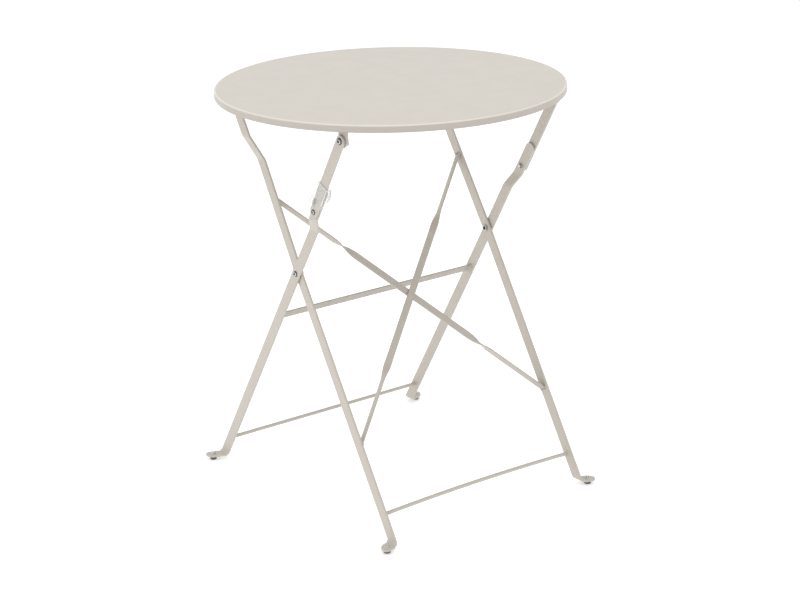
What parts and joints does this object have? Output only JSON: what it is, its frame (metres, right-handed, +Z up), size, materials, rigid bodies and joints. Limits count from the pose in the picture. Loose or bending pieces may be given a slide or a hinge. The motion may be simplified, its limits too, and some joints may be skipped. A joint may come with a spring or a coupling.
{
  "type": "folding bistro table",
  "caption": "Round folding bistro table: shallow pressed-steel top with a turned-down rim on crossed flat-bar legs with jointed stays, twisted cross braces and small foot pads.",
  "frame": {"origin": "floor level under the middle of the round top, standing open", "axes": "+Z up; Y runs along every hinge of the fold; +X is the side with the knees"},
  "size_m": [0.6, 0.6, 0.715],
  "materials": {
    "powder_coat": "satin",
    "zinc": "satin",
    "pad": "matte",
    "clear_plastic": "gloss"
  },
  "bodies": {
    "top": {"front_lug_left": "powder_coat", "front_lug_right": "powder_coat", "front_pivot_nut_left": "zinc", "front_pivot_nut_right": "zinc", "front_rail": "powder_coat", "rear_lug_left": "powder_coat", "rear_lug_right": "powder_coat", "rear_pivot_bolt_left": "zinc", "rear_pivot_bolt_right": "zinc", "rear_rail": "powder_coat", "table_top": "powder_coat"},
    "links": {"front_pivot_bolt_left": "zinc", "front_pivot_bolt_right": "zinc", "link_left": "powder_coat", "link_right": "powder_coat"},
    "clip": {"safety_clip": "clear_plastic"},
    "outer_frame": {"foot_pad_outer_left": "pad", "foot_pad_outer_right": "pad", "foot_rivet_outer_left": "zinc", "foot_rivet_outer_right": "zinc", "knee_bolt_left": "zinc", "knee_bolt_right": "zinc", "knee_nut_left": "zinc", "knee_nut_right": "zinc", "outer_leg_left": "powder_coat", "outer_leg_right": "powder_coat", "outer_low_rod": "powder_coat", "outer_mid_bar": "powder_coat", "scissor_bolt_left": "zinc", "scissor_bolt_right": "zinc"},
    "inner_frame": {"brace_from_left": "powder_coat", "brace_from_right": "powder_coat", "foot_pad_inner_left": "pad", "foot_pad_inner_right": "pad", "foot_rivet_inner_left": "zinc", "foot_rivet_inner_right": "zinc", "inner_leg_left": "powder_coat", "inner_leg_right": "powder_coat", "inner_low_rod": "powder_coat", "rear_pivot_stud_left": "zinc", "rear_pivot_stud_right": "zinc", "scissor_nut_left": "zinc", "scissor_nut_right": "zinc"}
  },
  "joints": [
    {"name": "stay_pivot", "type": "hinge", "parent": "top", "child": "links", "pos_m": [0.167, 0, 0.683], "axis": [0, 1, 0], "range_deg": [0, 54.97]},
    {"name": "knee_pivot", "type": "hinge", "parent": "links", "child": "outer_frame", "pos_m": [0.0857, 0, 0.5483], "axis": [0, 1, 0], "range_deg": [-152.86, 0]},
    {"name": "scissor_pivot", "type": "hinge", "parent": "outer_frame", "child": "inner_frame", "pos_m": [0.00495, 0, 0.41914], "axis": [0, 1, 0], "range_deg": [0, 55]},
    {"name": "clip_slide", "type": "slide", "parent": "links", "child": "clip", "axis": [0.5168, 0, 0.8561], "range_m": [0, 0.06]}
  ],
  "couplings": [
    {"joint": "stay_pivot", "follows": "scissor_pivot", "ratio": 0.99935},
    {"joint": "knee_pivot", "follows": "scissor_pivot", "ratio": -2.7791}
  ]
}
